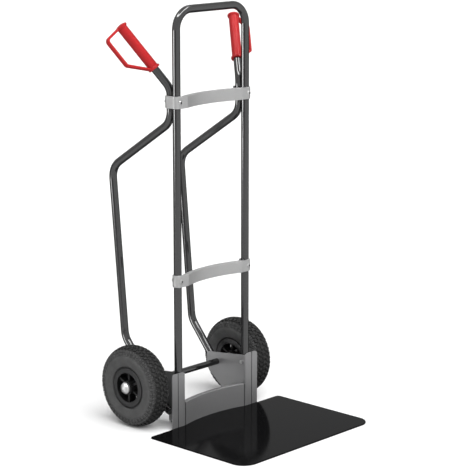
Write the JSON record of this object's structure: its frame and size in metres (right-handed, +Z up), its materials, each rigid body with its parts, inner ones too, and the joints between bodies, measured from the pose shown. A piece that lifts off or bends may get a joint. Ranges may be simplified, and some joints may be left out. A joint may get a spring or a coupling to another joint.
{
  "type": "hand truck",
  "caption": "Upright two-wheeled hand truck with a hooped tube frame, skid tubes ending in guarded grips, bowed crossbars, cheek plates, a flat toe plate and pneumatic wheels.",
  "frame": {"origin": "on the floor under the middle of the toe plate's tongue, straight below the axes of the two uprights", "axes": "+X to the right seen from the front (toe plate side), +Y back towards the wheels, +Z up"},
  "size_m": [0.6246, 0.7152, 1.3205],
  "materials": {
    "tube_black": "gloss black powder coat",
    "toe_plate_black": "high gloss black coat",
    "axle_black": "gloss black",
    "cheek_grey": "satin metallic grey",
    "crossbar_aluminium": "satin cast aluminium",
    "cap_zinc": "bright zinc plate",
    "fastener_zinc": "zinc plate",
    "bearing_steel": "ground steel",
    "tyre_rubber": "matt black rubber",
    "tube_rubber": "matt black butyl",
    "rim_plastic": "satin black moulded plastic",
    "plug_plastic": "black moulded plastic",
    "grip_red": "satin red moulded plastic"
  },
  "bodies": {
    "frame": {"axle": "axle_black", "axle_collars": "axle_black", "axle_washers": "fastener_zinc", "cheek_bolts": "fastener_zinc", "cheek_nuts": "fastener_zinc", "collar_grub_screws": "fastener_zinc", "crossbar_nuts": "fastener_zinc", "crossbar_screws": "fastener_zinc", "front_frame": "tube_black", "kick_panel": "cheek_grey", "kick_panel_rivets": "fastener_zinc", "left_axle_cap": "cap_zinc", "left_cheek_plate": "cheek_grey", "left_grip": "grip_red", "left_skid_tube": "tube_black", "lower_crossbar": "crossbar_aluminium", "right_axle_cap": "cap_zinc", "right_cheek_plate": "cheek_grey", "right_grip": "grip_red", "right_skid_tube": "tube_black", "skid_tube_bolts": "fastener_zinc", "skid_tube_nuts": "fastener_zinc", "skid_tube_plugs": "plug_plastic", "toe_plate": "toe_plate_black", "toe_plate_nuts": "fastener_zinc", "toe_plate_screws": "fastener_zinc", "upper_crossbar": "crossbar_aluminium", "upright_plugs": "plug_plastic"},
    "left_wheel": {"left_hub_sleeve": "bearing_steel", "left_inner_tube": "tube_rubber", "left_rim_bolts": "fastener_zinc", "left_rim_inner_half": "rim_plastic", "left_rim_nuts": "fastener_zinc", "left_rim_outer_half": "rim_plastic", "left_roller_cage": "plug_plastic", "left_rollers": "bearing_steel", "left_tyre": "tyre_rubber", "left_valve_cap": "tube_rubber", "left_valve_stem": "tube_rubber"},
    "right_wheel": {"right_hub_sleeve": "bearing_steel", "right_inner_tube": "tube_rubber", "right_rim_bolts": "fastener_zinc", "right_rim_inner_half": "rim_plastic", "right_rim_nuts": "fastener_zinc", "right_rim_outer_half": "rim_plastic", "right_roller_cage": "plug_plastic", "right_rollers": "bearing_steel", "right_tyre": "tyre_rubber", "right_valve_cap": "tube_rubber", "right_valve_stem": "tube_rubber"}
  },
  "joints": [
    {"name": "left_wheel_spin", "type": "hinge", "parent": "frame", "child": "left_wheel", "pos_m": [-0.2356, 0.11, 0.13], "axis": [1, 0, 0], "continuous": true},
    {"name": "right_wheel_spin", "type": "hinge", "parent": "frame", "child": "right_wheel", "pos_m": [0.2356, 0.11, 0.13], "axis": [1, 0, 0], "continuous": true}
  ]
}
